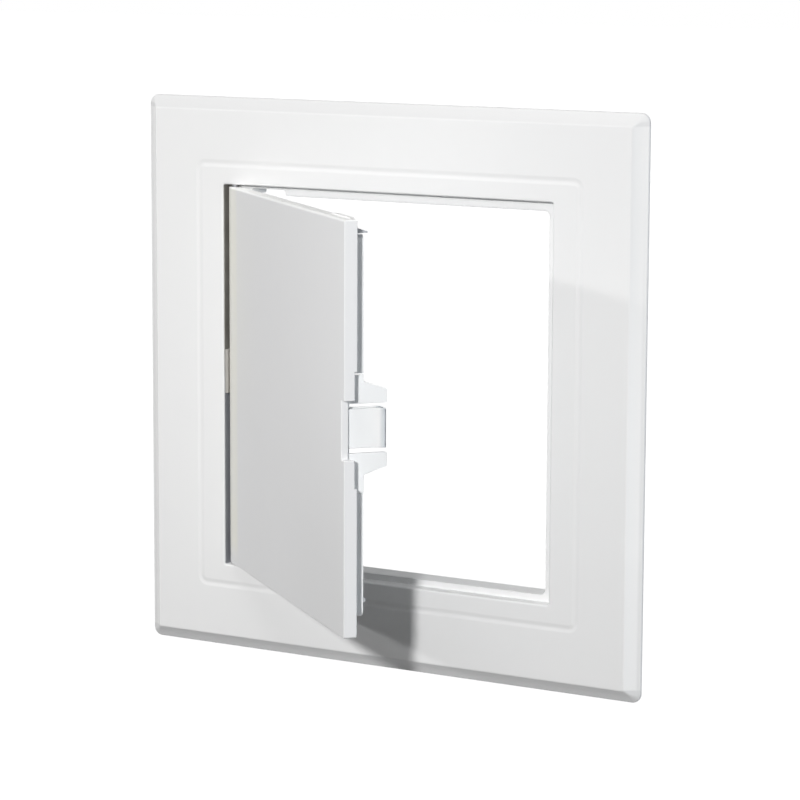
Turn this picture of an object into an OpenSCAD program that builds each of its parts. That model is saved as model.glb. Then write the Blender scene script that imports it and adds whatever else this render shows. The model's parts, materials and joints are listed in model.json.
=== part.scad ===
// Inspection hatch with a side-hung door and a snap latch, for a wall opening or a soffit.
// X runs to the right, Y runs into the wall, Z runs up. The origin is the middle of the face
// that lies on the wall, so the flange stands in front of Y = 0 and the sleeve behind it.
// The door is drawn standing open by door_open; every piece on it is laid out closed first.

/* [Frame] */
// Outside width of the flange
frame_w = 240; // [200:1:300]
// Outside height of the flange
frame_h = 240; // [200:1:300]
// Width of the sloping outer border, seen from the front
bevel_w = 5.8; // [3:0.1:8]
// How far the sloping border falls back
bevel_d = 3.4; // [3.2:0.1:5]
// Thickness of the upright outer edge behind the slope
edge_t = 2.3; // [2:0.1:3]
// Radius of the four outside corners
corner_r = 4; // [1:0.1:6]
// Width of the door opening at the front
open_w = 158.8; // [150:0.1:162]
// Height of the door opening at the front
open_h = 165.8; // [150:0.1:168]
// Thickness of the front skin of the flange
skin = 2.4; // [2:0.1:2.8]
// Thickness of the wall round the door seat
seat_wall = 2.4; // [2:0.1:3]
// Solid border left round the hollow back
back_rim = 6; // [5.6:0.1:9]
// Thickness of the ribs in the hollow back
back_rib_t = 1.6; // [1:0.1:2.4]
// How far the ribs stay back from the wall face
back_step = 0.4; // [0.2:0.1:0.8]
// Number of bays between ribs along each side
back_bays = 9; // [8:1:12]

/* [Groove] */
// Size of the square that the groove's centre line follows
groove_size = 183.6; // [178:0.1:190]
// Width of the groove at the surface
groove_w = 3.8; // [2:0.1:4.2]
// Width of the groove's floor
groove_floor = 0.8; // [0.6:0.1:1.4]
// Depth of the groove
groove_d = 0.3; // [0.2:0.05:1]
// Radius of the groove's corners
groove_r = 3; // [2.4:0.1:6]

/* [Stop lip and sleeve] */
// How far the lip stands in at the two sides
lip_side = 4.4; // [4:0.1:5]
// How far the lip stands in at the top
lip_top = 4.1; // [3.6:0.1:5]
// How far the lip stands in at the bottom
lip_bottom = 2.8; // [2.6:0.1:4]
// Thickness of the lip
lip_t = 2.2; // [1.6:0.1:3]
// Depth of the sleeve behind the wall face
sleeve_d = 10.8; // [8:0.1:14]
// Wall of the sleeve
sleeve_wall = 2.2; // [1.6:0.1:2.6]
// Radius of the sleeve's inside corners
sleeve_r = 2.5; // [1:0.1:4]
// Distance of the lip's notches from the hinge side of the opening
relief_x = 11.5; // [10:0.5:30]
// Width of the notches in the lip's top and bottom
relief_w = 15.5; // [6:0.5:20]
// Width of the narrow ledge that is left behind them
relief_ledge = 1.6; // [1:0.1:2]
// Slant of the notches' far end
relief_slant = 1.2; // [0:0.1:3]

/* [Hinge] */
// Distance of the hinge line from the left side of the opening
hinge_in = 4.4; // [4:0.1:5]
// Diameter of the two hinge pins
pin_d = 3; // [2.4:0.1:3]
// Radial clearance of the pins in the frame
pin_gap = 0.06; // [0.02:0.01:0.1]
// Length of pin inside the frame
pin_in_frame = 5; // [4:0.5:6]
// Length of pin inside the door's edge
pin_in_door = 8; // [6:0.5:12]
// Play at the end of each pin
pin_play = 1.5; // [1:0.1:2]
// Width of the boss round each pin
boss_w = 8; // [7:0.5:10]
// Height of the boss beyond the pin's end
boss_over = 1.2; // [1:0.1:2]
// Length of the steady rib beside the door's edge
steady_h = 19; // [10:0.5:30]
// Height of the rib's middle above the hatch's middle
steady_z = 2; // [-5:0.5:5]
// Gap between the steady rib and the door's round edge
steady_gap = 0.35; // [0.3:0.05:0.6]
// How far the steady rib sits behind the front face
steady_back = 0.7; // [0.4:0.1:1.5]

/* [Door] */
// Angle by which the door stands open
door_open = 40; // [0:1:90]
// Depth of the door's tray from front to back
tray_t = 5.4; // [5.2:0.1:5.4]
// Thickness of the door's front skin
door_skin = 3; // [2.5:0.1:3.2]
// Thickness of the tray's edge walls
tray_wall = 2.4; // [1.8:0.1:2.6]
// Height of the low ridge along the door's hinge side
swell_h = 0.6; // [0.3:0.05:0.7]
// Distance of that ridge's crest from the hinge line
swell_in = 3.4; // [3.2:0.1:4]
// Distance at which its slope has run out into the door's face
swell_out = 10.3; // [8:0.1:12]
// Gap between door and opening at the free side
gap_side = 0.8; // [0.6:0.1:1.2]
// Gap between door and opening at top and bottom
gap_end = 1; // [0.9:0.1:1.5]
// Length of the centring ridge on the door's top edge
ridge_l = 25; // [10:0.5:40]
// Height of the centring ridge
ridge_h = 0.7; // [0.4:0.1:0.7]
// Thickness of the centring ridge
ridge_t = 2; // [1:0.1:2.4]
// Setback of the ridge from the free edge
ridge_set = 1.6; // [1:0.1:4]
// Setback of the ridge from the tray's back
ridge_back = 0.4; // [0.2:0.1:1]
// Length of the ridge's sloping end
ridge_ramp = 4; // [2:0.5:4.5]

/* [Stiffening frame] */
// Setback of the stiffening frame from the free edge
rim_set = 6.6; // [6.4:0.1:9]
// Setback from the door's top and bottom edges
rim_end = 6.5; // [6:0.1:9]
// Distance from the hinge line to the frame's near side
rim_hinge = 9; // [8:0.5:14]
// Wall of the stiffening frame
rim_wall = 2.2; // [1.6:0.1:2.6]
// Height from the front of the door to the frame's back
rim_back = 10.3; // [9:0.1:11]
// Corner radius of the stiffening frame
rim_r = 3; // [2.4:0.1:5]
// Height of the low cross ribs above the skin
cross_h = 2.4; // [1.6:0.1:2.6]
// Thickness of the cross ribs
cross_t = 1.6; // [1:0.1:2.2]
// Number of bays across the door
cross_nx = 4; // [3:1:5]
// Number of bays up the door
cross_nz = 4; // [3:1:5]
// Width of the guide lugs
lug_w = 2; // [1.6:0.1:2.4]
// Reach of the top lug from the front of the door
lug_reach = 11.9; // [11:0.1:13]
// Height of the top lug at its root
lug_h = 2.2; // [1.6:0.1:2.4]
// Height of the top lug at its tip
lug_tip = 0.6; // [0.4:0.1:1]
// Height of the top lug's shoulder behind the tray
lug_shoulder = 1.6; // [1:0.1:2.4]
// Clearance between the top lug and the stiffening frame
lug_gap = 0.6; // [0.4:0.1:0.8]
// Height of the small nub near the bottom corner
nub_h = 1.8; // [1.5:0.1:3]
// How far the nub stands above the frame
nub_up = 1; // [0.8:0.1:1.6]
// Distance of the nub's middle from the frame's lower corner
nub_z = 6.8; // [5:0.1:9]

/* [Latch] */
// Height of the finger notch in the door's edge
notch_h = 23.4; // [20:0.1:26]
// Depth of the finger notch into the door's edge
notch_d = 3.6; // [3:0.1:3.8]
// Length of the shallow relief in the edge's back
cut_h = 45.8; // [44:0.1:50]
// Depth of that relief
cut_d = 1; // [0.6:0.1:1.4]
// Setback of the latch's outer face from the free edge
latch_set = 5.2; // [5.1:0.1:6]
// Thickness of the guide plates
guide_t = 1.6; // [1.2:0.1:2]
// Thickness of the latch's base plate
base_t = 1.6; // [1.2:0.1:2]
// Depth of the base plate from the latch's outer face
base_w = 12.5; // [11:0.1:13]
// Height of the guide above the latch's middle
guide_up = 21; // [20:0.1:22]
// Height of the guide below the latch's middle
guide_down = 25.5; // [24:0.1:27]
// Height of the guide's shoulders from the door's front
guide_back = 10; // [9:0.1:11]
// Reach of the two teeth from the door's front
tooth_reach = 19.5; // [18:0.1:21]
// Half height of a tooth pair at the root
tooth_root = 18.4; // [17:0.1:19]
// Half height of a tooth pair at the tip
tooth_tip = 15.5; // [14:0.1:16.5]
// Radius of the teeth's corners
tooth_r = 0.8; // [0.4:0.1:1.2]
// Size of the gusset behind each tooth
gusset = 4; // [3:0.5:6]
// Room between the guide and the stiffening frame
latch_room = 0.4; // [0.3:0.1:0.8]
// Height of the spring tongue
tongue_h = 15.5; // [13:0.1:17]
// Slot between the tongue and each tooth
slot = 2; // [1.5:0.1:2.5]
// Thickness of the tongue
tongue_t = 1.4; // [1.2:0.1:1.6]
// Reach of the tongue from the door's front
tongue_reach = 19.4; // [18.8:0.1:20]
// Radius of the tongue's corners beside the bend
tongue_r = 1.6; // [1:0.1:2.4]
// Outer radius of the tongue's bend
bend_r = 3; // [2.6:0.1:3.2]
// How far the hook stands out from the tongue
hook_out = 2.3; // [2:0.1:2.4]
// Length of the hook's sloping flank
hook_rise = 4.2; // [3:0.1:5]
// Slope of the hook's catching face
hook_slope = 0.8; // [0.4:0.1:1]
// Thickness of the hook at its tip
hook_tip = 0.7; // [0.5:0.1:0.9]
// Play between the hook and the back of the sleeve
hook_gap = 0.3; // [0.2:0.05:0.5]
// Radius of the tongue's round root
root_r = 1.3; // [1.1:0.1:1.5]
// Gap under the tongue's root and its free end
root_gap = 0.3; // [0.2:0.05:0.4]
// Diameter of the latch screws' heads
screw_head = 4.4; // [4:0.1:5]
// Height of the screw heads
screw_head_h = 1.4; // [1:0.1:1.8]
// Diameter of the screws' shanks
screw_d = 2; // [1.6:0.1:2.2]
// How far the screw holes go into the door's skin
screw_in = 2; // [1.5:0.1:2.2]
// Distance of each screw from the guide's end
screw_end = 4; // [3.5:0.1:5]
// Play of the screws in their holes
screw_play = 0.2; // [0.1:0.05:0.3]

/* [Hidden] */
$fn = 48;
eps = 0.01;
over = 1;
frame_t = bevel_d + edge_t;
front = -frame_t;
seat_w = open_w + 2 * seat_wall;
seat_h = open_h + 2 * seat_wall;
// Inside faces of the lip and the sleeve
in_x = open_w / 2 - lip_side;
in_top = open_h / 2 - lip_top;
in_bot = open_h / 2 - lip_bottom;
// Hinge line, on the middle of the door's round edge
edge_r = tray_t / 2;
hinge_x = -open_w / 2 + hinge_in;
hinge_y = front + edge_r;
// The closed door
free_x = open_w / 2 - gap_side;
door_z = open_h / 2 - gap_end;
skin_y = front + door_skin;
rim_x = free_x - rim_set;
rim_x0 = hinge_x + rim_hinge;
rim_z = door_z - rim_end;
rim_w = rim_x - rim_x0;
// The latch
latch_x = free_x - latch_set;
tooth_in = tongue_h / 2 + slot;
leg_gap = 2 * (bend_r - tongue_t);
bend_x = latch_x - bend_r;
bend_y = front + tongue_reach - bend_r;
root_x = latch_x - 2 * bend_r + tongue_t / 2;
root_y = skin_y + base_t + root_gap + root_r;
screw_x = latch_x - base_w + screw_head / 2 + screw_play;
screw_zs = [guide_up - screw_end, screw_end - guide_down];

// A plate in the X-Z plane that fills Y from y0 to y1
module slab(y0, y1) translate([0, y1, 0]) rotate([90, 0, 0]) linear_extrude(y1 - y0) children();

// A bar along Z with its section drawn in X-Y, from z0 to z1
module bar(z0, z1) translate([0, 0, z0]) linear_extrude(z1 - z0) children();

// A plate in the Z-Y plane that fills X from x0 to x1, drawn as [z, y]
module side(x0, x1) translate([x1, 0, 0]) rotate([0, -90, 0]) linear_extrude(x1 - x0) children();

module rounded(w, h, r) {
    square([w - 2 * r, h], center = true);
    square([w, h - 2 * r], center = true);
    for (i = [-1, 1], j = [-1, 1]) translate([i * (w / 2 - r), j * (h / 2 - r)]) circle(r);
}

// A block whose four sides slope, so that it measures [w0, h0] at y0 and [w1, h1] at y1
module frustum(w0, h0, w1, h1, y0, y1) {
    more = y1 - y0 + over;
    intersection() {
        bar(-h0 - h1, h0 + h1)
            polygon([[-w0 / 2, y0 - more], [-w0 / 2, y0], [-w1 / 2, y1], [-w1 / 2, y1 + more],
                     [w1 / 2, y1 + more], [w1 / 2, y1], [w0 / 2, y0], [w0 / 2, y0 - more]]);
        side(-w0 - w1, w0 + w1)
            polygon([[-h0 / 2, y0 - more], [-h0 / 2, y0], [-h1 / 2, y1], [-h1 / 2, y1 + more],
                     [h1 / 2, y1 + more], [h1 / 2, y1], [h0 / 2, y0], [h0 / 2, y0 - more]]);
    }
}

module bevelled_plate() {
    intersection() {
        frustum(frame_w - 2 * bevel_w, frame_h - 2 * bevel_w, frame_w, frame_h, front, -edge_t);
        slab(front, 0) rounded(frame_w, frame_h, corner_r);
    }
}

// The groove's section: across it, and from the front face inwards
module groove_section() {
    polygon([[-groove_w / 2, -over], [-groove_w / 2, 0], [-groove_floor / 2, groove_d],
             [groove_floor / 2, groove_d], [groove_w / 2, 0], [groove_w / 2, -over]]);
}

module groove() {
    run = groove_size / 2 - groove_r;
    for (a = [0 : 90 : 270]) rotate([0, a, 0]) {
        side(-run, run) translate([-groove_size / 2, front]) groove_section();
        translate([run, front, -run]) rotate([-90, 0, 0]) rotate_extrude(angle = 90)
            translate([groove_r, 0]) groove_section();
    }
}

module back_pockets() {
    pocket_w = frame_w - 2 * back_rim;
    pocket_h = frame_h - 2 * back_rim;
    difference() {
        slab(front + skin, over) difference() {
            square([pocket_w, pocket_h], center = true);
            square([seat_w, seat_h], center = true);
        }
        for (i = [0 : back_bays]) {
            p = i / back_bays - 0.5;
            slab(front, 2 * over) translate([p * seat_w, 0])
                square([back_rib_t, frame_h], center = true);
            slab(front, 2 * over) translate([0, p * seat_h])
                square([frame_w, back_rib_t], center = true);
        }
    }
    slab(-back_step, over) difference() {
        square([pocket_w, pocket_h], center = true);
        square([seat_w, seat_h], center = true);
    }
}

module hinge_boss(s) {
    h = pin_in_frame + boss_over;
    slab(front + skin, -back_step) translate([hinge_x, s * (open_h / 2 + h / 2)])
        square([boss_w, h], center = true);
}

module flange() {
    color("white")
    difference() {
        union() {
            difference() {
                bevelled_plate();
                back_pockets();
            }
            for (s = [-1, 1]) hinge_boss(s);
        }
        slab(front - over, over) square([open_w, open_h], center = true);
        groove();
        for (s = [-1, 1])
            translate([hinge_x, hinge_y, s * (open_h / 2 + (pin_in_frame - over) / 2)])
                cylinder(d = pin_d + 2 * pin_gap, h = pin_in_frame + over, center = true);
    }
}

// Inside outline of the lip, enlarged by g on every side
module clear_way(g) {
    translate([0, (in_top - in_bot) / 2])
        rounded(2 * (in_x + g), in_top + in_bot + 2 * g, sleeve_r + g);
}

// A notch in the lip, for the top with s = 1
module lip_relief(s, inner) {
    x0 = -open_w / 2 + relief_x;
    x1 = x0 + relief_w;
    z1 = open_h / 2 - relief_ledge;
    z0 = inner - sleeve_wall;
    polygon([[x0, s * z1], [x1, s * z1], [x1 + relief_slant, s * inner],
             [x1 + relief_slant, s * (inner - over)], [x1, s * z0 - s * over],
             [x0, s * z0 - s * over]]);
}

module sleeve() {
    color("whitesmoke")
    difference() {
        union() {
            slab(0, lip_t) square([seat_w, seat_h], center = true);
            slab(0, sleeve_d) clear_way(sleeve_wall);
        }
        slab(-over, sleeve_d + over) clear_way(0);
        slab(-over, sleeve_d + over) lip_relief(1, in_top);
        slab(-over, sleeve_d + over) lip_relief(-1, in_bot);
    }
}

module steady_rib() {
    w = hinge_in - edge_r - steady_gap;
    r = w / 2;
    color("whitesmoke")
    bar(steady_z - steady_h / 2, steady_z + steady_h / 2) {
        translate([-open_w / 2, front + steady_back + r]) square([w, frame_t - steady_back - r]);
        translate([-open_w / 2, front + steady_back]) square([r, r + eps]);
        translate([-open_w / 2 + r, front + steady_back + r]) circle(r);
    }
}

// Carries the pieces of the closed door to where they stand with the door open
module at_door() {
    translate([hinge_x, hinge_y, 0]) rotate([0, 0, -door_open])
        translate([-hinge_x, -hinge_y, 0]) children();
}

module hinge_pins() {
    l = pin_in_door + gap_end + pin_in_frame - pin_play;
    color("silver")
    at_door() for (s = [-1, 1])
        translate([hinge_x, hinge_y, s * (door_z - pin_in_door + l / 2)])
            cylinder(d = pin_d, h = l, center = true);
}

module ridge() {
    y1 = front + tray_t - ridge_back;
    x1 = free_x - ridge_set;
    slab(y1 - ridge_t, y1)
        polygon([[x1 - ridge_l, door_z - eps], [x1 - ridge_l + ridge_ramp, door_z + ridge_h],
                 [x1 - ridge_ramp / 2, door_z + ridge_h], [x1, door_z - eps]]);
}

module door_panel() {
    back = front + tray_t;
    color("gainsboro")
    at_door() difference() {
        union() {
            bar(-door_z, door_z) {
                translate([hinge_x, hinge_y]) circle(edge_r);
                translate([hinge_x, front])
                    polygon([[0, 1], [swell_in - 2 * swell_h, 0], [swell_in, -swell_h],
                             [swell_out, 0], [swell_out, 1]]);
                translate([hinge_x, front]) square([free_x - hinge_x, door_skin]);
                translate([free_x - tray_wall, front]) square([tray_wall, tray_t]);
            }
            for (s = [-1, 1]) slab(front, back)
                translate([(hinge_x + free_x) / 2, s * (door_z - tray_wall / 2)])
                    square([free_x - hinge_x, tray_wall], center = true);
            ridge();
        }
        for (s = [-1, 1]) translate([hinge_x, hinge_y, s * (door_z - (pin_in_door - over) / 2)])
            cylinder(d = pin_d, h = pin_in_door + over, center = true);
        slab(front - over, back + over) translate([free_x - notch_d / 2 + over, 0])
            square([notch_d + 2 * over, notch_h], center = true);
        slab(back - cut_d, back + over) translate([free_x, 0])
            square([2 * (tray_wall + over), cut_h], center = true);
        for (z = screw_zs) translate([screw_x, skin_y + over, z])
            rotate([90, 0, 0]) cylinder(d = screw_d + screw_play / 2, h = screw_in + over);
    }
}

module stiffening_frame() {
    cx = (rim_x + rim_x0) / 2;
    color("lightsteelblue")
    at_door() difference() {
        union() {
            slab(skin_y, front + rim_back) difference() {
                translate([cx, 0]) rounded(rim_w, 2 * rim_z, rim_r);
                translate([cx, 0]) rounded(rim_w - 2 * rim_wall, 2 * rim_z - 2 * rim_wall,
                                           rim_r - rim_wall);
            }
            slab(skin_y, skin_y + cross_h) intersection() {
                translate([cx, 0]) square([rim_w - rim_wall, 2 * rim_z - rim_wall], center = true);
                union() {
                    for (i = [1 : cross_nx - 1]) translate([rim_x0 + i * rim_w / cross_nx, 0])
                        square([cross_t, 2 * rim_z], center = true);
                    for (i = [1 : cross_nz - 1])
                        translate([cx, (2 * i / cross_nz - 1) * rim_z])
                            square([rim_w, cross_t], center = true);
                }
            }
        }
        // room for the latch
        slab(skin_y - over, front + rim_back + over)
            translate([latch_x - base_w - latch_room, -guide_down - latch_room])
                square([base_w + rim_set, guide_up + guide_down + 2 * latch_room]);
    }
}

module guide_lugs() {
    z0 = rim_z + lug_gap;
    color("lightsteelblue")
    at_door() {
        side(rim_x - lug_w, rim_x)
            polygon([[z0, skin_y], [z0, front + lug_reach], [z0 + lug_tip, front + lug_reach],
                     [z0 + lug_h, front + tray_t + lug_shoulder], [z0 + lug_h, skin_y]]);
        side(rim_x - lug_w, rim_x) {
            translate([-rim_z + nub_z - nub_h / 2, front + rim_back])
                square([nub_h, nub_up - nub_h / 4]);
            translate([-rim_z + nub_z, front + rim_back + nub_up - nub_h / 2])
                intersection() {
                    circle(nub_h / 2);
                    translate([-nub_h, nub_h / 4 - eps]) square([2 * nub_h, nub_h]);
                }
        }
    }
}

// One guide tooth, drawn as [z, y] for the upper side; the lower one is mirrored
module tooth(shoulder) {
    r = tooth_r;
    tip = front + tooth_reach;
    back = front + guide_back;
    polygon([[tooth_in, skin_y], [shoulder, skin_y], [shoulder, back], [tooth_root, back],
             [tooth_tip, tip - r], [tooth_tip - r, tip], [tooth_in + r, tip], [tooth_in, tip - r]]);
    translate([tooth_in + r, tip - r]) circle(r);
    translate([tooth_tip - r, tip - r]) circle(r);
}

module latch_guide() {
    color("whitesmoke")
    at_door() difference() {
        union() {
            slab(skin_y, skin_y + base_t) translate([latch_x - base_w, -guide_down])
                square([base_w, guide_up + guide_down]);
            side(latch_x - guide_t, latch_x) {
                tooth(guide_up);
                mirror([1, 0]) tooth(guide_down);
            }
            // a gusset behind each tooth
            for (s = [-1, 1]) translate([0, 0, s * (tooth_in + tooth_root) / 2])
                bar(-guide_t / 2, guide_t / 2)
                    polygon([[latch_x - guide_t, skin_y + base_t - eps],
                             [latch_x - guide_t, front + guide_back + gusset],
                             [latch_x - guide_t - gusset, skin_y + base_t - eps]]);
        }
        // room for the tongue's outer leg
        slab(skin_y - over, skin_y + base_t + over)
            translate([latch_x - tongue_t - latch_room, -tooth_in])
                square([tongue_t + latch_room + over, 2 * tooth_in]);
        for (z = screw_zs) translate([screw_x, skin_y + base_t / 2, z])
            rotate([90, 0, 0]) cylinder(d = screw_d + screw_play, h = base_t + over, center = true);
    }
}

module latch_screws() {
    color("silver")
    at_door() for (z = screw_zs) {
        translate([screw_x, skin_y + base_t, z]) rotate([-90, 0, 0])
            cylinder(d = screw_head, h = screw_head_h);
        translate([screw_x, skin_y + base_t + eps, z]) rotate([90, 0, 0])
            cylinder(d = screw_d, h = base_t + screw_in - screw_play);
    }
}

module tongue_section() {
    leg = latch_x - tongue_t;
    low = skin_y + root_gap;
    // the hook's flank rises just inside the sleeve and turns out behind it
    flank = sleeve_d + hook_gap;
    translate([leg, low]) square([tongue_t, bend_y - low]);
    translate([root_x - tongue_t / 2, root_y]) square([tongue_t, bend_y - root_y]);
    translate([root_x, root_y]) circle(root_r);
    difference() {
        translate([bend_x, bend_y]) circle(bend_r);
        translate([bend_x, bend_y]) circle(bend_r - tongue_t);
        translate([bend_x - 2 * bend_r, bend_y - 2 * bend_r]) square([4 * bend_r, 2 * bend_r]);
    }
    polygon([[leg + tongue_t / 2, flank - hook_rise], [latch_x, flank - hook_rise],
             [in_x - hook_gap, flank], [latch_x + hook_out, flank + hook_slope],
             [latch_x + hook_out, flank + hook_slope + hook_tip],
             [latch_x - tongue_t / 2, flank + hook_slope + 2 * hook_tip],
             [leg + tongue_t / 2, bend_y]]);
}

// The tongue's outline seen from the free edge, drawn as [z, y], with its corners rounded
module tongue_outline() {
    tip = front + tongue_reach;
    for (r = [0, tongue_r]) translate([r - tongue_h / 2, skin_y])
        square([tongue_h - 2 * r, tip - tongue_r + r - skin_y]);
    for (s = [-1, 1]) translate([s * (tongue_h / 2 - tongue_r), tip - tongue_r]) circle(tongue_r);
}

module latch_tongue() {
    color("white")
    at_door() intersection() {
        bar(-tongue_h / 2, tongue_h / 2) tongue_section();
        side(root_x - 2 * root_r, latch_x + 2 * hook_out) tongue_outline();
    }
}

flange();
sleeve();
steady_rib();
hinge_pins();
door_panel();
stiffening_frame();
guide_lugs();
latch_guide();
latch_screws();
latch_tongue();
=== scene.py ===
# %% [markdown]
# # A white plastic inspection hatch
#
# An inspection hatch closes a hole in a wall or a soffit. Ours is a square flange with a sloping
# border and a fine groove, a short sleeve that goes into the hole, and a small door on two hinge
# pins that snaps shut with a springy tongue. Everything is moulded in white plastic, so the shapes
# are told apart only by light: this lesson is mostly about soft edges, quiet finishes and lamps.
#
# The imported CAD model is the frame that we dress. Every piece stays exactly where the CAD has it.

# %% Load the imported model
import json
import math

import bmesh
import bpy
from mathutils import Matrix, Vector


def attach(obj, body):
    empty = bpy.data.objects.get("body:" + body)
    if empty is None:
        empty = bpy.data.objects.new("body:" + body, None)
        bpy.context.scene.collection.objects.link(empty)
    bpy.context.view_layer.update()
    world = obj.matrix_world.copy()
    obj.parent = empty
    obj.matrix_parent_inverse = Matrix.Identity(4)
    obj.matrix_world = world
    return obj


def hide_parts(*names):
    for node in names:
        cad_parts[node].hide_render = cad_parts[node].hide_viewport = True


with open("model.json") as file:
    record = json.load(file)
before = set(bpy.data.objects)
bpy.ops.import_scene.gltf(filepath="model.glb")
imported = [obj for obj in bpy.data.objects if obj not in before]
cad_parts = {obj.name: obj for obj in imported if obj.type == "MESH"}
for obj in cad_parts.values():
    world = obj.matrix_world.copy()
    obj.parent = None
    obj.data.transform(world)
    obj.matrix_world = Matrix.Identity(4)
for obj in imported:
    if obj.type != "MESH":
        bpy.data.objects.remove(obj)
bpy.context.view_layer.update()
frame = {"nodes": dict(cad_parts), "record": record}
nodes = frame["nodes"]
MM = 0.001
print("CAD nodes:", ", ".join(sorted(nodes)))

# %% [markdown]
# ## The camera
#
# The photographer stood to the right of the hatch and a little above it, with a long lens. The
# angles below were worked out from the edges in the photograph. A camera looks along its own -Z,
# so we build its three axes from the azimuth, the elevation and the small roll, and put them into
# a matrix. A long lens far away keeps parallel edges nearly parallel, which is the look to match.

# %% Place the camera
CAMERA_AZIMUTH = 30.287
CAMERA_ELEVATION = 8.859
CAMERA_ROLL = 0.249
CAMERA_DISTANCE = 1.3013
CAMERA_LENS = 140.07
CAMERA_AIM = Vector((0.0086, -0.0057, -0.00328))


def camera_axes(azimuth, elevation, roll):
    """Right, up and forward of a camera that stands at that azimuth and elevation."""
    a, e, r = (math.radians(v) for v in (azimuth, elevation, roll))
    forward = Vector((-math.sin(a) * math.cos(e), math.cos(a) * math.cos(e), -math.sin(e)))
    level = Vector((math.cos(a), math.sin(a), 0))
    raised = level.cross(forward)
    right = level * math.cos(r) + raised * math.sin(r)
    up = raised * math.cos(r) - level * math.sin(r)
    return right, up, forward


right, up, forward = camera_axes(CAMERA_AZIMUTH, CAMERA_ELEVATION, CAMERA_ROLL)
camera = bpy.data.objects.new("camera", bpy.data.cameras.new("camera"))
bpy.context.scene.collection.objects.link(camera)
camera.matrix_world = Matrix.Translation(CAMERA_AIM - forward * CAMERA_DISTANCE) @ Matrix(
    (right, up, -forward)).transposed().to_4x4()
camera.data.lens = CAMERA_LENS
camera.data.clip_start, camera.data.clip_end = 0.05, 100
bpy.context.scene.camera = camera
print("camera stands at", [round(v, 3) for v in camera.matrix_world.translation])

# %% [markdown]
# ## Writing shaders as sums
#
# A node tree is easier to read as a formula. The class below wraps one output socket: adding or
# multiplying two of them adds a Math node and returns its result, wrapped again.

# %% The shader helper
class Value:
    """An output socket that can be used in a formula, with others or with numbers."""

    def __init__(self, tree, socket):
        self.tree, self.socket = tree, socket

    def math(self, operation, other, third=None):
        """The result of a Math node that takes this value first."""
        node = self.tree.nodes.new("ShaderNodeMath")
        node.operation = operation
        for i, v in enumerate((self, other, third)):
            if isinstance(v, Value):
                self.tree.links.new(v.socket, node.inputs[i])
            elif v is not None:
                node.inputs[i].default_value = v
        return Value(self.tree, node.outputs[0])

    def __add__(self, other): return self.math("ADD", other)
    def __sub__(self, other): return self.math("SUBTRACT", other)
    def __mul__(self, other): return self.math("MULTIPLY", other)
    def __rsub__(self, other): return self.math("MULTIPLY_ADD", -1.0, other)


class Finish:
    """The nodes of a material or a world, added one call at a time."""

    def __init__(self, owner):
        self.owner = owner
        owner.use_nodes = True
        self.tree = owner.node_tree
        self.tree.nodes.clear()

    def node(self, kind, settings=None, **inputs):
        """Adds a node: its settings are set first, then its sockets get values or links.

        A socket goes by its name, or by its number after a line, as in _6, where names repeat.
        """
        made = self.tree.nodes.new(kind)
        for key, value in (settings or {}).items():
            setattr(made, key, value)
        for key, value in inputs.items():
            socket = made.inputs[int(key[1:])] if key[1:].isdigit() else made.inputs[
                key.replace("_", " ")]
            if isinstance(value, Value):
                self.tree.links.new(value.socket, socket)
            else:
                socket.default_value = value
        return made

    def out(self, node, name=0):
        return Value(self.tree, node.outputs[name])

    def surface(self, node, kind="ShaderNodeOutputMaterial"):
        """Sends a shader to the output, and gives back the finished material or world."""
        output = self.tree.nodes.new(kind)
        self.tree.links.new(node.outputs[0], output.inputs["Surface"])
        return self.owner


# %% [markdown]
# ## White moulded plastic
#
# The real part is injection moulded. Its mould was spark-eroded to a fine, even satin, so the skin
# has a grain of a few tenths of a millimetre that never lines up, a slow waviness where the plastic
# shrank a little over its ribs, and a gloss that wanders by a few hundredths. Noise textures on
# Object coordinates give all three. The colour stays nearly flat, because a clean white part is.
#
# Some places are painted darker or lighter. Painted shade darkens the narrow gap beside the door's
# round edge, and the door is tinted a faint yellow next to it. Painted shade greys the flange's
# upper right corner, its upper and lower slopes and the door's lower free corner, while painted
# light brightens the flange's side slopes and the door's top edge. Masks paint all this. They are
# products of soft steps along the axes, and their numbers are millimetres from the middle of the
# hatch. RIDGE, for example, is where the flange's flat face ends and its sloping border begins.

# %% Masks along the axes
def axes(skin, place):
    """The three coordinates of a place."""
    parts = skin.node("ShaderNodeSeparateXYZ", Vector=place)
    return [skin.out(parts, n) for n in "XYZ"]


def soft_step(skin, value, start, end):
    """0 before start and 1 after end, in millimetres, with a smooth rise between them."""
    return skin.out(skin.node("ShaderNodeMapRange", {"interpolation_type": "SMOOTHSTEP"},
                              Value=value, From_Min=start * MM, From_Max=end * MM))


def band(skin, value, low, high, soft):
    """1 between low and high, in millimetres, fading out over soft on either side."""
    return soft_step(skin, value, low - soft, low) * (
        1 - soft_step(skin, value, high, high + soft))


def blend_colour(skin, mask, plain, painted):
    """plain where the mask is 0 and painted where it is 1. Each is a colour or a Value."""
    pair = [c if isinstance(c, Value) else (*c, 1) for c in (plain, painted)]
    return skin.out(skin.node("ShaderNodeMix", {"data_type": "RGBA"}, Factor=mask,
                              _6=pair[0], _7=pair[1]), 2)


# %% Painted shade and light on the frame
RIDGE = 114.4
GAP_X, GAP_Y, GAP_Z = (-79.7, -75.3), (-5.65, -4.9), (-82.6, 82.7)
# Colours of painted shade in the gap, on the corner and slopes, and of painted light on the side
# slopes.
COOL_GAP_SHADE, BROWN_GAP_SHADE = (0.25, 0.26, 0.29), (0.17, 0.16, 0.14)
CORNER_SHADE, SLOPE_SHADE, SIDE_LIGHT = (0.83, 0.83, 0.83), (0.8, 0.8, 0.8), (0.98, 0.98, 0.975)


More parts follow.
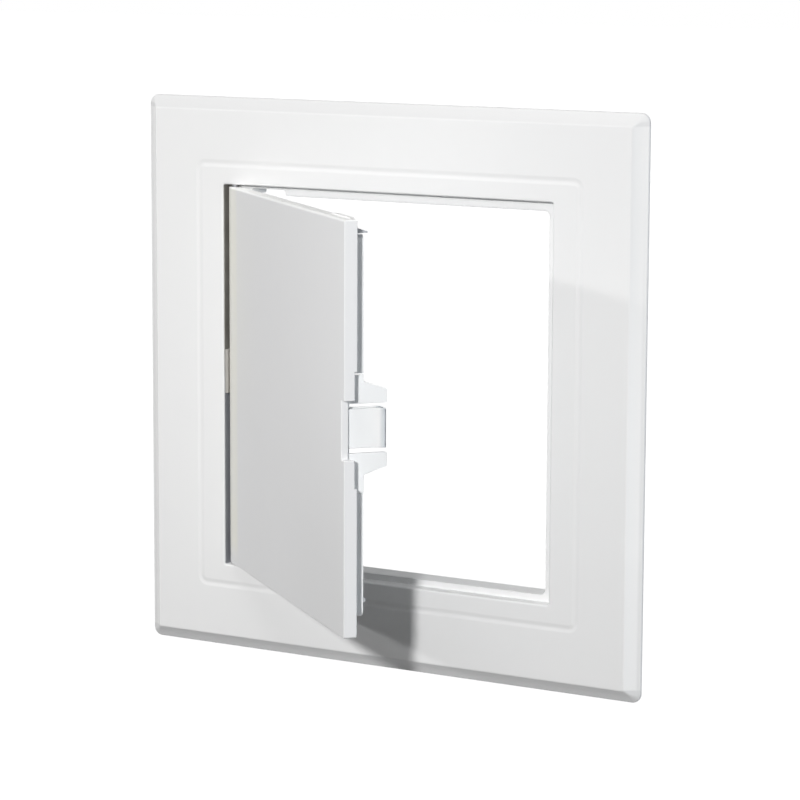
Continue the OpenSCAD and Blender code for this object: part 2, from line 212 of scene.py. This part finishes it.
def frame_painted_shade_and_light(skin, place, blotch, unpainted):
    """Painted shade on the walls of the gap beside the door, and painted shade and light farther
    out.
    """
    x, y, z = axes(skin, place)
    # Painted shade: the walls of the narrow gap beside the door are darkened, cool below and brown
    # above.
    gap = band(skin, x, *GAP_X, 0.2) * band(skin, z, *GAP_Z, 0.3) * soft_step(skin, y, *GAP_Y)
    gap_shade = blend_colour(skin, soft_step(skin, z, -6, 12), COOL_GAP_SHADE, BROWN_GAP_SHADE)
    # Painted shade greys the flange's upper right corner.
    corner = soft_step(skin, x, 10, 112) * soft_step(skin, z, 10, 114) * (
        1 - soft_step(skin, x, RIDGE - 1.4, RIDGE + 1.6))
    # Painted shade greys the upper and lower slopes.
    slopes = soft_step(skin, z, RIDGE - 0.1, RIDGE + 0.8) + (
        1 - soft_step(skin, z, -RIDGE - 0.4, -RIDGE + 0.6))
    # Painted light brightens the left slope and the lower part of the right slope.
    sides = band(skin, x, -RIDGE - 2.1, -RIDGE, 1) + band(
        skin, x, RIDGE + 0.1, RIDGE + 3.6, 1) * (1 - soft_step(skin, z, -20, 90))
    mixed = blend_colour(skin, corner, unpainted, CORNER_SHADE)
    mixed = blend_colour(skin, sides, mixed, SIDE_LIGHT)
    mixed = blend_colour(skin, slopes, mixed, SLOPE_SHADE)
    return blend_colour(skin, gap * (1 - blotch * 0.2), mixed, gap_shade)


# %% [markdown]
# The door is painted as it stands in the photograph, 40 degrees open, because its Object
# coordinates are the model's own. Only the painted shade on the latch's hook is easier to say for a
# closed door, as a depth behind the wall's face, so the turn about the hinge line is taken out
# first.

# %% Tint, painted shade and light on the door and the latch
HINGE_X, HINGE_Y = -75, -3
HINGE = Vector((HINGE_X, HINGE_Y, 0)) * MM
OPEN_ANGLE = math.radians(40)
CLOUD_YELLOW, STRIP_YELLOW = (0.88, 0.875, 0.82), (0.90, 0.89, 0.82)
DOOR_CORNER_SHADE, DOOR_TOP_LIGHT, HOOK_SHADE = (0.79, 0.79, 0.79), (0.97, 0.97, 0.96), (0.57, 0.6, 0.63)
FREE_CORNER_X, TOP_EDGE_Z, HOOK_DEPTH = (40.8, 41.4), (81.2, 81.8), (9.9, 12.0)


def door_tint_and_painted_light(skin, place, blotch, unpainted):
    """A faint yellow tint next to the hinge, painted shade far from it and painted light on the top
    edge.
    """
    x, _, z = axes(skin, place)
    cloud = skin.out(skin.node("ShaderNodeTexNoise", Vector=place, Scale=45.0, Detail=3.0))
    height = soft_step(skin, z, -30, 15) * (1 - soft_step(skin, z, 45, 95) * 0.6)
    patch = (1 - soft_step(skin, x, -76, -38)) * height * (cloud * 0.7)
    strip = (1 - soft_step(skin, x, -71, -67)) * band(skin, z, -70, 80, 12) * (cloud + 0.3)
    # Painted shade greys the door's lower free corner.
    corner = soft_step(skin, x, -40, 36) * (1 - soft_step(skin, z, -76, 30)) * (
        1 - soft_step(skin, x, *FREE_CORNER_X))
    mixed = blend_colour(skin, patch, unpainted, CLOUD_YELLOW)
    mixed = blend_colour(skin, strip, mixed, STRIP_YELLOW)
    mixed = blend_colour(skin, corner, mixed, DOOR_CORNER_SHADE)
    # Painted light brightens the door's top edge.
    return blend_colour(skin, soft_step(skin, z, *TOP_EDGE_Z), mixed, DOOR_TOP_LIGHT)


def hook_painted_shade(skin, place, blotch, unpainted):
    """Painted shade: the tongue's hook is a cool grey where it catches behind the sleeve."""
    x, y, _ = axes(skin, place)
    depth = (x - HINGE.x) * math.sin(OPEN_ANGLE) + (
        y - HINGE.y) * math.cos(OPEN_ANGLE) + HINGE.y
    # Painted shade on the bend of the hook.
    return blend_colour(skin, soft_step(skin, depth, *HOOK_DEPTH), unpainted, HOOK_SHADE)


# %% [markdown]
# A finish is then three noises, one for each kind of unevenness. Their scales are per metre: the
# slow waves are some 36 mm long, the blotches 11 mm and the grain 0.4 mm. The heights of grain and
# waves are given in metres for each material.

# %% The finishes
WAVES, BLOTCHES, GRAIN, STEEL_GRAIN = 28.0, 90.0, 2600.0, 1800.0
GLOSS_DRIFT = 0.05


def moulded_plastic(name, colour, roughness, grain, wave, tint=0.012, marks=None, shine=0.15):
    """White plastic. grain and wave are the heights, in metres, of the fine and the slow relief."""
    skin = Finish(bpy.data.materials.new(name))
    place = skin.out(skin.node("ShaderNodeTexCoord"), "Object")
    slow = skin.out(skin.node("ShaderNodeTexNoise", Vector=place, Scale=WAVES, Detail=2.0))
    fine = skin.out(skin.node("ShaderNodeTexNoise", Vector=place, Scale=GRAIN, Detail=2.0))
    blotch = skin.out(skin.node("ShaderNodeTexNoise", Vector=place, Scale=BLOTCHES, Detail=4.0))
    relief = fine * grain + slow * wave
    bump = skin.out(skin.node("ShaderNodeBump", Height=relief, Strength=1.0, Distance=1.0))
    shade = tuple(c * (1 - tint) for c in colour[:2]) + (colour[2] * (1 - tint * 0.6),)
    mixed = blend_colour(skin, blotch, colour, shade)
    # marks paints each part's painted shade and painted light, and the door's yellow tint, onto its
    # colour.
    if marks:
        mixed = marks(skin, place, blotch, mixed)
    return skin.surface(skin.node(
        "ShaderNodeBsdfPrincipled", Base_Color=mixed, Normal=bump,
        Roughness=(blotch - 0.5) * GLOSS_DRIFT + roughness, Specular_IOR_Level=shine))


def steel(name):
    """Drawn steel wire gone dull, with fine marks all over."""
    skin = Finish(bpy.data.materials.new(name))
    place = skin.out(skin.node("ShaderNodeTexCoord"), "Object")
    marks = skin.out(skin.node("ShaderNodeTexNoise", Vector=place, Scale=STEEL_GRAIN, Detail=3.0))
    bump = skin.out(skin.node("ShaderNodeBump", Height=marks * 0.00001, Distance=1.0))
    return skin.surface(skin.node(
        "ShaderNodeBsdfPrincipled", Base_Color=(0.25, 0.25, 0.26, 1), Metallic=1.0,
        Roughness=marks * 0.15 + 0.44, Normal=bump))


CLEAN_WHITE = (0.95, 0.955, 0.95)
frame_white = moulded_plastic("frame_white", (0.9, 0.9, 0.895), 0.42, 0.000004, 0.00004,
                              marks=frame_painted_shade_and_light)
# The steady rib is painted a brownish grey: painted shade, as it stands in the dark gap beside the
# door.
rib_painted_shade = moulded_plastic("rib_painted_shade", (0.45, 0.435, 0.40), 0.6, 0.00001, 0.00004, tint=0.1)
door_white = moulded_plastic("door_white", (0.87, 0.87, 0.87), 0.6, 0.00001, 0.00005,
                             marks=door_tint_and_painted_light, shine=0.02)
latch_white = moulded_plastic("latch_white", CLEAN_WHITE, 0.5, 0.000003, 0.00002)
tongue_white = moulded_plastic("tongue_white", CLEAN_WHITE, 0.5, 0.000003, 0.00002,
                               marks=hook_painted_shade)
# The guide lugs are painted grey: painted shade under the door's overhanging tray.
lug_painted_shade = moulded_plastic("lug_painted_shade", (0.5, 0.51, 0.53), 0.6, 0.000004, 0.00004)
pin_steel = steel("pin_steel")
FINISHES = {
    "flange": frame_white, "sleeve": frame_white, "steady_rib": rib_painted_shade,
    # The stiffening frame takes the whiter latch white: painted light that lifts its strip in the
    # shade of the door's edge.
    "door_panel": door_white, "stiffening_frame": latch_white, "guide_lugs": lug_painted_shade,
    "latch_guide": latch_white, "latch_tongue": tongue_white,
    "hinge_pins": pin_steel, "latch_screws": pin_steel,
}
print("finishes:", sorted({m.name for m in FINISHES.values()}))

# %% [markdown]
# ## Dressing a node
#
# The record says which body carries each node. A dressed piece takes its body from there and its
# finish from the table of finishes, and then stands for the node.
#
# The door and all that it carries were drawn closed and then turned open about the hinge line. We
# keep that turn at hand: rules about the door's edges are far easier to write for a closed door.

# %% Bodies, slots and the door's turn
BODIES = {n: body for body, held in frame["record"]["behaviour"]["bodies"].items() for n in held}
DOOR_TURN = (Matrix.Translation(HINGE) @ Matrix.Rotation(-OPEN_ANGLE, 4, "Z")
             @ Matrix.Translation(-HINGE))
SHUT = DOOR_TURN.inverted()


def new_piece(name, mesh):
    piece = bpy.data.objects.new(name, mesh)
    bpy.context.scene.collection.objects.link(piece)
    return piece


def settle(piece):
    """The piece's mesh with its modifiers worked in, and the modifiers gone."""
    bpy.context.view_layer.update()
    seen = piece.evaluated_get(bpy.context.evaluated_depsgraph_get())
    worked_in = bpy.data.meshes.new_from_object(seen)
    piece.modifiers.clear()
    piece.data = worked_in
    return piece


def dress(piece, node):
    """The piece takes the node's finish, rides where the node rides and stands for it."""
    piece.data.materials.clear()
    piece.data.materials.append(FINISHES[node])
    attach(piece, BODIES[node])
    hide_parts(node)
    print(f"{piece.name}: {len(piece.data.polygons)} faces on body {BODIES[node]}")


# %% [markdown]
# ## The flange, drawn ring by ring
#
# The flange is the largest face in view, and what shows on it are its soft ridge, the shallow
# groove and the rounded corners. All of it follows one rule: a section that runs round a rounded
# square. So we write the section as a list of rings, each with half sizes, a corner radius and a
# depth, and skin them in order, from the back round the front and into the opening. The last ring
# joins the first, which closes the shell.

# %% Rings
CORNER_STEPS = 10


def ring(half_w, half_h, radius, depth):
    """A loop of points round a rounded rectangle, in millimetres."""
    points = []
    for i, (sx, sz) in enumerate(((1, 1), (-1, 1), (-1, -1), (1, -1))):
        for k in range(CORNER_STEPS + 1):
            a = math.radians(90 * (i + k / CORNER_STEPS))
            points.append((sx * (half_w - radius) + radius * math.cos(a), depth,
                           sz * (half_h - radius) + radius * math.sin(a)))
    return points


def skin_rings(name, rings):
    """A closed mesh through the rings, whose last ring is joined to the first."""
    count = len(rings[0])
    points = [Vector(p) * MM for r in rings for p in r]
    faces = []
    for i in range(len(rings)):
        j = (i + 1) % len(rings)
        for k in range(count):
            m = (k + 1) % count
            faces.append((i * count + k, i * count + m, j * count + m, j * count + k))
    mesh = bpy.data.meshes.new(name)
    mesh.from_pydata(points, [], faces)
    shell = bmesh.new()
    shell.from_mesh(mesh)
    bmesh.ops.recalc_face_normals(shell, faces=shell.faces)
    shell.to_mesh(mesh)
    shell.free()
    return mesh


def fillet(corner, before, after, radius, steps=6):
    """Points of an arc that rounds the corner of a section between the points before and after."""
    c, p, q = (Vector(v) for v in (corner, before, after))
    u, v = (p - c).normalized(), (q - c).normalized()
    half = u.angle(v) / 2
    reach = min(radius / math.tan(half), 0.48 * (p - c).length, 0.48 * (q - c).length)
    r = reach * math.tan(half)
    middle = c + (u + v).normalized() * (r / math.sin(half))
    start, end = c + u * reach - middle, c + v * reach - middle
    turn = start.angle_signed(end)
    return [middle + Matrix.Rotation(-turn * k / steps, 2) @ start for k in range(steps + 1)]


# %% [markdown]
# The section is written as (inset from the outside, depth). The sloping border is slightly hollow:
# in the photograph its lower side is darkest just below the ridge. A quadratic curve gives that:
# one point between rim and ridge pulls the line inwards. The slope is also a little wider at the
# sides than at the top and bottom. The ridge itself is rounded by 1 mm. The groove is a soft wave
# only 0.3 mm deep: a cosine draws it without an edge. Last come the lip's rounded front corner, the
# opening's wall and the pocket in the back.

# %% The flange's section
OUTER, FRONT = 120.0, -5.7
SLOPE = OUTER - RIDGE
OPEN_W, OPEN_H, SEAT = 79.4, 82.9, 2.4
OUTER_CORNER, TIGHT_CORNER = 4, 0.8
RIM_HIGH, RIM_R, RIDGE_R, BACK_CHAMFER = 1.4, 0.9, 1.0, 0.3
SLOPE_PULL = Vector((3.15, -3.1))
SLOPE_WIDER = 0.04

edge, ridge = Vector((0, -RIM_HIGH)), Vector((SLOPE, FRONT))
hollow = [edge.lerp(SLOPE_PULL, t).lerp(SLOPE_PULL.lerp(ridge, t), t)
          for t in (0.2, 0.35, 0.5, 0.65, 0.8)]
section = [Vector((BACK_CHAMFER, 0)), Vector((0.09, -0.09)), Vector((0, -BACK_CHAMFER))]
section += fillet(edge, section[-1], hollow[0], RIM_R) + hollow
section += fillet(ridge, hollow[-1], (SLOPE + 9, FRONT), RIDGE_R)
rings = [ring(OUTER - p.x * (1 + SLOPE_WIDER), OUTER - p.x * (1 - SLOPE_WIDER),
              max(OUTER_CORNER - p.x, TIGHT_CORNER), p.y) for p in section]

GROOVE_MID, GROOVE_HALF, GROOVE_DEEP, GROOVE_CORNER = 91.8, 1.9, 0.3, 3.0
GROOVE_STEPS = 8
for k in range(-GROOVE_STEPS, GROOVE_STEPS + 1):
    s = GROOVE_HALF * k / GROOVE_STEPS
    rings.append(ring(GROOVE_MID - s, GROOVE_MID - s, GROOVE_CORNER - s, FRONT
                      + GROOVE_DEEP * (0.5 + 0.5 * math.cos(math.pi * k / GROOVE_STEPS))))

LIP_R, LIP_STEPS = 0.9, 6
for k in range(LIP_STEPS + 1):
    a = math.radians(90 * k / LIP_STEPS)
    out_by = LIP_R * (1 - math.sin(a))
    rings.append(ring(OPEN_W + out_by, OPEN_H + out_by, TIGHT_CORNER + out_by,
                      FRONT + LIP_R * (1 - math.cos(a))))

POCKET, POCKET_REACH = FRONT + 2.4, OUTER - 6
seat_w, seat_h = OPEN_W + SEAT, OPEN_H + SEAT
rings += [ring(w, h, TIGHT_CORNER, depth) for w, h, depth in (
    (OPEN_W, OPEN_H, 0), (seat_w, seat_h, 0), (seat_w, seat_h, POCKET),
    (POCKET_REACH, POCKET_REACH, POCKET), (POCKET_REACH, POCKET_REACH, 0))]
shell = new_piece("flange_shell", skin_rings("flange_shell", rings))
print("flange shell:", len(rings), "rings,", len(shell.data.polygons), "faces")

# %% [markdown]
# ## Ribs and fasteners along a line
#
# The hollow back of the flange is stiffened by forty thin ribs, ten along each side. One rib is
# enough to draw: Geometry Nodes set copies of it along a line. The tree below takes the shape from
# the object it sits on, and its count, start, step and material as named inputs. Realize Instances
# turns the copies into real faces, which an export keeps.

# %% The tree that repeats a shape
def repeat_tree():
    tree = bpy.data.node_groups.new("repeat_along_a_line", "GeometryNodeTree")
    face = tree.interface
    face.new_socket("Geometry", in_out="OUTPUT", socket_type="NodeSocketGeometry")
    for label, kind in (("Shape", "Geometry"), ("Count", "Int"), ("Start", "Vector"),
                        ("Step", "Vector"), ("Finish", "Material")):
        face.new_socket(label, in_out="INPUT", socket_type="NodeSocket" + kind)
    made = {k: tree.nodes.new(v) for k, v in {
        "in": "NodeGroupInput", "line": "GeometryNodeMeshLine",
        "copies": "GeometryNodeInstanceOnPoints", "real": "GeometryNodeRealizeInstances",
        "paint": "GeometryNodeSetMaterial", "out": "NodeGroupOutput"}.items()}
    for a, b in (("in.Count", "line.Count"), ("in.Start", "line.Start Location"),
                 ("in.Step", "line.Offset"), ("line.Mesh", "copies.Points"),
                 ("in.Shape", "copies.Instance"), ("copies.Instances", "real.Geometry"),
                 ("real.Geometry", "paint.Geometry"), ("in.Finish", "paint.Material"),
                 ("paint.Geometry", "out.Geometry")):
        (x, m), (y, n) = a.split("."), b.split(".")
        tree.links.new(made[x].outputs[m], made[y].inputs[n])
    return tree


REPEAT = repeat_tree()
INPUT_OF = {item.name: item.identifier for item in REPEAT.interface.items_tree
            if item.in_out == "INPUT"}


def repeated(name, mesh, count, start, step, finish):
    """Copies of a mesh along a line that starts at start, in millimetres, as one plain mesh."""
    piece = new_piece(name, mesh)
    copies = piece.modifiers.new("copies", "NODES")
    copies.node_group = REPEAT
    for label, value in (("Count", count), ("Start", Vector(start) * MM),
                         ("Step", Vector(step) * MM), ("Finish", finish)):
        copies[INPUT_OF[label]] = value
    return settle(piece)


# %% Ribs in the flange's hollow back
def rounded_block(name, size, soft=0.25):
    """A block round the origin whose edges are rounded a little."""
    block = bmesh.new()
    bmesh.ops.create_cube(block, size=1.0, matrix=Matrix.Diagonal((*(Vector(size) * MM), 1)))
    bmesh.ops.bevel(block, geom=block.edges[:], offset=soft * MM, segments=2, profile=0.5,
                    affect="EDGES")
    mesh = bpy.data.meshes.new(name)
    block.to_mesh(mesh)
    block.free()
    return mesh


def joined(name, pieces):
    """One mesh piece made of several."""
    whole = bmesh.new()
    for piece in pieces:
        whole.from_mesh(piece.data)
        bpy.data.objects.remove(piece)
    mesh = bpy.data.meshes.new(name)
    whole.to_mesh(mesh)
    whole.free()
    return new_piece(name, mesh)


BAYS, RIB, STEP_BACK, SINK = 9, 1.6, 0.4, 0.2
BOSS_W, BOSS_H = 8, 6.2
rib_deep = -STEP_BACK - POCKET + SINK
rib_y = -STEP_BACK - rib_deep / 2
tall, wide = POCKET_REACH - seat_h, POCKET_REACH - seat_w
parts = [shell]
for s in (-1, 1):
    parts.append(repeated(
        "ribs_upright", rounded_block("rib", (RIB, rib_deep, tall + 2 * SINK)), BAYS + 1,
        (-seat_w, rib_y, s * (seat_h + tall / 2)), (2 * seat_w / BAYS, 0, 0), frame_white))
    parts.append(repeated(
        "ribs_level", rounded_block("rib", (wide + 2 * SINK, rib_deep, RIB)), BAYS + 1,
        (s * (seat_w + wide / 2), rib_y, -seat_h), (0, 0, 2 * seat_h / BAYS), frame_white))
    boss = new_piece("boss", rounded_block("boss", (BOSS_W, rib_deep, BOSS_H)))
    boss.data.transform(Matrix.Translation(
        Vector((HINGE_X, rib_y, s * (OPEN_H + BOSS_H / 2))) * MM))
    parts.append(boss)

# %% [markdown]
# The hinge pins run in two bores in the opening's top and bottom walls, so the bores are cut into
# the finished shell with a Boolean. Weighted normals keep the wide faces flat to the eye although
# every edge between them is smooth.

# %% Bores and smooth shading
def smooth(piece, sharp=50):
    """Smooth shading that leaves big faces flat and edges over that angle sharp."""
    piece.data.polygons.foreach_set("use_smooth", [True] * len(piece.data.polygons))
    piece.data.set_sharp_from_angle(angle=math.radians(sharp))
    weighted = piece.modifiers.new("weighted", "WEIGHTED_NORMAL")
    weighted.keep_sharp, weighted.weight = True, 80
    return settle(piece)


BORE_R, BORE_L = 1.56, 6
flange = joined("flange_moulding", parts)
for s in (-1, 1):
    cylinder = bmesh.new()
    bore_middle = Vector((HINGE_X, HINGE_Y, s * (OPEN_H - 1 + BORE_L / 2))) * MM
    bmesh.ops.create_cone(cylinder, cap_ends=True, segments=32, radius1=BORE_R * MM,
                          radius2=BORE_R * MM, depth=BORE_L * MM,
                          matrix=Matrix.Translation(bore_middle))
    drill_mesh = bpy.data.meshes.new("drill")
    cylinder.to_mesh(drill_mesh)
    cylinder.free()
    drill = new_piece("drill", drill_mesh)
    bore = flange.modifiers.new("bore", "BOOLEAN")
    bore.operation, bore.object, bore.solver, bore.use_self = "DIFFERENCE", drill, "EXACT", True
    settle(flange)
    bpy.data.objects.remove(drill)
dress(smooth(flange), "flange")

# %% [markdown]
# ## Rounded copies of the other mouldings
#
# The other mouldings have the right shape already, but their edges are razor sharp, and it is the
# rounding of an edge that catches the light. Each is copied, its loose triangles are merged into
# whole faces, and a Bevel rounds its outward edges. How much depends on the edge, so a small rule
# for each node gives the rounding in millimetres, and the bevel weights carry it. Inward edges and
# the faint ones between the flats of a curve stay as they are.

# %% The rounding helper
FLAT, EDGE = math.radians(0.5), math.radians(30)


def rounded_copy(name, node, rule, segments=3, shut=False):
    """A copy of a node with rounded edges. rule(middle of an edge) gives its rounding in mm."""
    body = bmesh.new()
    body.from_mesh(nodes[node].data)
    bmesh.ops.remove_doubles(body, verts=body.verts, dist=1e-6)
    if shut:
        bmesh.ops.transform(body, matrix=SHUT, verts=body.verts)
    bmesh.ops.dissolve_limit(body, angle_limit=FLAT, verts=body.verts, edges=body.edges,
                             delimit={"NORMAL"})
    weight = body.edges.layers.float.new("bevel_weight_edge")
    wanted = {}
    for edge in body.edges:
        if edge.is_convex and edge.calc_face_angle() > EDGE:
            wanted[edge] = rule((edge.verts[0].co + edge.verts[1].co) / (2 * MM))
    widest = max(wanted.values())
    for edge, width in wanted.items():
        edge[weight] = width / widest
    if shut:
        bmesh.ops.transform(body, matrix=DOOR_TURN, verts=body.verts)
    mesh = bpy.data.meshes.new(name)
    body.to_mesh(mesh)
    body.free()
    piece = new_piece(name, mesh)
    soft = piece.modifiers.new("soft", "BEVEL")
    soft.limit_method, soft.width, soft.segments = "WEIGHT", widest * MM, segments
    soft.use_clamp_overlap = False
    return smooth(settle(piece), 40)


def even(width):
    """A rule that rounds every edge alike."""
    return lambda middle: width


# %% The frame's small parts
dress(rounded_copy("sleeve_moulding", "sleeve", even(0.3)), "sleeve")
dress(rounded_copy("steady_rib_moulding", "steady_rib", even(0.15)), "steady_rib")

# %% [markdown]
# ## The door
#
# In the photograph the door's top edge is a line of light, which means that its front corner is
# well rounded. The bottom edge shows no dark line, so it is crisp there. The rule asks where the
# middle of an edge lies on the closed door. Beside the hinge the rounding stays small, because the
# edges there are short and run into the round hinge edge.

# %% The door and what it carries
DOOR_FRONT, DOOR_END, BESIDE_HINGE = -5.7, 81.9, -64.5


def door_rule(middle):
    at_front = middle.y < DOOR_FRONT + 0.5
    at_end = abs(abs(middle.z) - DOOR_END) < 0.15
    if at_end and middle.x < BESIDE_HINGE:
        return 0.4
    if at_front and at_end:
        return 1.5 if middle.z > 0 else 0.3
    if at_end:
        return 0.6
    return 0.4 if at_front else 0.25


dress(rounded_copy("door_moulding", "door_panel", door_rule, 4, shut=True), "door_panel")
dress(rounded_copy("stiffening_moulding", "stiffening_frame", even(0.15), shut=True),
      "stiffening_frame")
dress(rounded_copy("lug_mouldings", "guide_lugs", even(0.2), shut=True), "guide_lugs")
dress(rounded_copy("latch_guide_moulding", "latch_guide", even(0.25), shut=True), "latch_guide")
dress(rounded_copy("spring_tongue", "latch_tongue", even(0.3), shut=True), "latch_tongue")

# %% [markdown]
# ## Screws and pins
#
# Turned parts are drawn as half a section and spun about their axis. The latch is held by two pan
# head screws with a cross recess, and the door hangs on two steel pins with broken corners. The
# same tree as before sets both pairs in place. The screws are laid out on the closed door, and then
# their finished mesh is turned open with it. The pins stand on the hinge line, which doesn't move.

# %% Turned parts
def turned(name, outline, steps=32):
    """A closed mesh spun about Z from (radius, height) points, in millimetres, bottom to top."""
    part = bmesh.new()
    loops = []
    for radius, height in outline:
        loops.append([part.verts.new(Vector((radius * math.cos(a), radius * math.sin(a), height))
                                     * MM)
                      for a in (math.tau * k / steps for k in range(steps))])
    for low, high in zip(loops, loops[1:]):
        for k in range(steps):
            m = (k + 1) % steps
            part.faces.new((low[k], low[m], high[m], high[k]))
    part.faces.new(list(reversed(loops[0])))
    part.faces.new(loops[-1])
    mesh = bpy.data.meshes.new(name)
    part.to_mesh(mesh)
    part.free()
    return mesh


HEAD_R, HEAD_H, HEAD_SIDE, SHANK_R, SHANK = 2.2, 1.4, 0.55, 1.0, 3.4
TIP, THREAD_DEEP, THREAD_RISE = 0.4, 0.22, 0.26
CROSS, CROSS_AT = (2.3, 0.5, 1.6), 1.25
UPPER_SCREW, SCREW_PITCH = (63.3, -1.1, 17.0), 38.5

thread = [(SHANK_R - THREAD_DEEP * (k % 2), TIP - SHANK + THREAD_RISE * k) for k in range(11)]
dome = [(HEAD_R * math.cos(a), HEAD_SIDE + (HEAD_H - HEAD_SIDE) * math.sin(a))
        for a in (math.radians(v) for v in (0, 18, 36, 54, 70))]
screw = new_piece("screw", turned("screw", [
    (0.45, -SHANK), *thread, (SHANK_R, 0), (HEAD_R - 0.1, 0), (HEAD_R, 0.12), *dome]))
for turn in (0, 90):
    cutter = new_piece("cutter", rounded_block("cutter", CROSS, 0.1))
    cutter.data.transform(Matrix.Translation((0, 0, CROSS_AT * MM))
                          @ Matrix.Rotation(math.radians(turn), 4, "Z"))
    cut = screw.modifiers.new("cut", "BOOLEAN")
    cut.operation, cut.object, cut.solver = "DIFFERENCE", cutter, "EXACT"
    settle(screw)
    bpy.data.objects.remove(cutter)
screw.data.transform(Matrix.Rotation(math.radians(-90), 4, "X"))
screws = repeated("latch_screw_pair", screw.data, 2, UPPER_SCREW, (0, 0, -SCREW_PITCH), pin_steel)
bpy.data.objects.remove(screw)
screws.data.transform(DOOR_TURN)
dress(smooth(screws, 35), "latch_screws")

PIN_R, PIN_L, PIN_CORNER, PIN_Z = 1.5, 12.5, 0.35, 80.15
pin = turned("pin", [(PIN_R - PIN_CORNER, -PIN_L / 2), (PIN_R, PIN_CORNER - PIN_L / 2),
                     (PIN_R, PIN_L / 2 - PIN_CORNER), (PIN_R - PIN_CORNER, PIN_L / 2)])
pins = repeated("hinge_pin_pair", pin, 2, (HINGE_X, HINGE_Y, -PIN_Z), (0, 0, 2 * PIN_Z), pin_steel)
dress(smooth(pins, 30), "hinge_pins")

# %% [markdown]
# ## Floor and room
#
# The hatch belongs in a wall, so here it hangs in a white room, well above a pale floor. The floor
# shows as white to the camera and in reflections, through Light Path, and keeps any shadow that
# falls on it. The room's own light stays low: it only opens the shadows.

# %% Floor and world
FLOOR_DROP, FLOOR_HALF = 1.4, 40.0
AMBIENT = 0.012


def seen_by_eye(skin):
    """1 for rays that show the background: camera, glossy and transmission rays."""
    path = skin.node("ShaderNodeLightPath")
    camera_ray, glossy, through = (skin.out(path, n) for n in (
        "Is Camera Ray", "Is Glossy Ray", "Is Transmission Ray"))
    return camera_ray.math("MAXIMUM", glossy).math("MAXIMUM", through)


floor_mesh = bpy.data.meshes.new("floor")
floor_mesh.from_pydata([(FLOOR_HALF * x, FLOOR_HALF * y, -FLOOR_DROP) for x, y in (
    (-1, -1), (1, -1), (1, 1), (-1, 1))], [], [(0, 1, 2, 3)])
floor = new_piece("floor", floor_mesh)
pale = Finish(bpy.data.materials.new("floor_pale"))
lit = pale.node("ShaderNodeBsdfPrincipled", Base_Color=(0.8, 0.8, 0.8, 1), Roughness=0.9)
white = pale.node("ShaderNodeEmission", Color=(1, 1, 1, 1), Strength=1.0)
both = pale.node("ShaderNodeAddShader", _0=pale.out(lit), _1=pale.out(white))
floor_mesh.materials.append(pale.surface(pale.node(
    "ShaderNodeMixShader", _0=seen_by_eye(pale), _1=pale.out(lit), _2=pale.out(both))))

room = Finish(bpy.data.worlds.new("room"))
dim = room.node("ShaderNodeBackground", Color=(1, 1, 1, 1), Strength=AMBIENT)
bright = room.node("ShaderNodeBackground", Color=(1, 1, 1, 1), Strength=1.0)
bpy.context.scene.world = room.surface(room.node(
    "ShaderNodeMixShader", _0=seen_by_eye(room), _1=room.out(dim), _2=room.out(bright)),
    "ShaderNodeOutputWorld")
print("floor", FLOOR_DROP, "m below, room light", AMBIENT)

# %% [markdown]
# ## Lamps
#
# Plain lamps stand where the photographer's did. The shadows tell where. The dark shape under the
# door comes from the main lamp, in front and to the right. A weak lamp on the left lights the
# paler wedge in that shape, and lays a faint shadow of the whole door on the right rail. A soft
# panel on the far left lights the door's face, and a cool one behind on the right draws thin
# bright edges. Two panels, one high in front and one straight overhead, brighten what faces up.
# The high one is also nearly all the light there is inside the door's shadow.

# %% Lamps
AIM = Vector((0, -0.03, 0))


def lamp(name, azimuth, elevation, distance, size, level, colour=(1, 1, 1)):
    """A round lamp. level is how bright it alone makes a white sheet that faces it at the hatch."""
    data = bpy.data.lights.new(name, "AREA")
    data.shape, data.size, data.color = "DISK", size, colour
    data.energy = level * (math.pi * distance) ** 2
    made = bpy.data.objects.new(name, data)
    a, e = math.radians(azimuth), math.radians(elevation)
    way = Vector((math.sin(a) * math.cos(e), -math.cos(a) * math.cos(e), math.sin(e)))
    made.location = AIM + way * distance
    made.rotation_mode = "QUATERNION"
    made.rotation_quaternion = way.to_track_quat("Z", "Y")
    bpy.context.scene.collection.objects.link(made)


lamp("key_lamp", 18.0, 15.7, 1.1, 0.065, 0.7)
lamp("left_spot", -35, 21, 1.2, 0.05, 0.14)
lamp("left_panel", -80, 10, 1.5, 0.9, 0.14)
lamp("right_back_panel", 107, 5, 1.4, 0.5, 0.33, (0.86, 0.93, 1.0))
lamp("high_panel", 0, 62, 2.0, 0.8, 0.18)
lamp("overhead_panel", 0, 88, 1.5, 0.4, 0.2)

# %% Finish
bpy.context.scene.view_settings.view_transform = "Standard"
